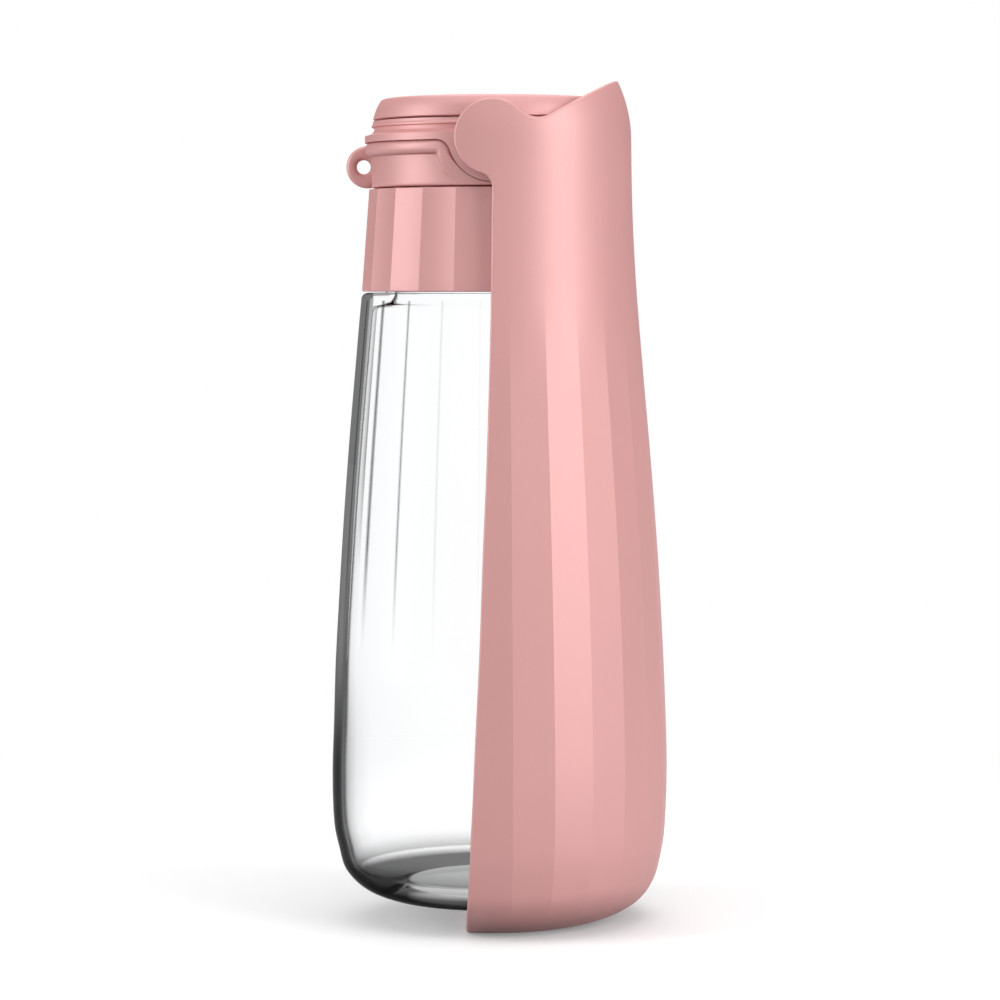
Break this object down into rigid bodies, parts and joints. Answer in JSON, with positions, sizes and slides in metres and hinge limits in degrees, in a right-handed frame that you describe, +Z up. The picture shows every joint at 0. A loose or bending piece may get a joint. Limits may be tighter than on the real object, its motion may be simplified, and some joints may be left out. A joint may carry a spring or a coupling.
{
  "type": "dog travel water bottle",
  "caption": "Clear faceted water bottle that hangs in a hinged half-shell drinking trough, with a twist valve lid, a threaded collar and a carry eye.",
  "frame": {"origin": "on the table plane, under the bottle's axis, on the flat of the trough's foot", "axes": "+Z up along the bottle's axis, +X the way the trough faces, Y along the trough's hinge axis"},
  "size_m": [0.08, 0.0818, 0.1993],
  "materials": {
    "trough_shell": "satin pink moulding",
    "pink_moulding": "satin pink moulding",
    "inner_moulding": "satin pink moulding",
    "clear_bottle": "clear, polished",
    "seal": "translucent silicone",
    "nylon": "natural nylon",
    "steel": "stainless"
  },
  "bodies": {
    "head": {"head_core": "pink_moulding", "neck_ring": "pink_moulding", "spigot": "inner_moulding", "spigot_oring": "seal", "slip_ring": "nylon", "neck_gasket": "seal", "stop_ring": "pink_moulding", "seal_plate": "seal", "vent_valve": "seal", "hinge_bushes": "nylon", "friction_washers": "seal"},
    "lid": {"valve_knob": "pink_moulding", "valve_rotor": "nylon", "valve_stem": "nylon", "stem_oring": "seal", "stem_washer": "steel", "stem_screw": "steel"},
    "collar": {"collar": "pink_moulding"},
    "bottle": {"bottle": "clear_bottle"},
    "trough": {"trough": "trough_shell"}
  },
  "joints": [
    {"name": "trough_hinge", "type": "hinge", "parent": "head", "child": "trough", "pos_m": [0, 0, 0.185], "axis": [0, -1, 0], "range_deg": [0, 155]},
    {"name": "lid_twist", "type": "hinge", "parent": "head", "child": "lid", "pos_m": [0, 0, 0.19], "axis": [0, 0, 1], "range_deg": [0, 90]},
    {"name": "collar_turn", "type": "hinge", "parent": "head", "child": "collar", "pos_m": [0, 0, 0.16], "axis": [0, 0, 1], "range_deg": [0, 360]},
    {"name": "bottle_drop", "type": "slide", "parent": "head", "child": "bottle", "axis": [0, 0, -1], "range_m": [0, 0.003]}
  ],
  "couplings": [
    {"joint": "collar_turn", "follows": "bottle_drop", "rad_per_m": 2094.4}
  ]
}
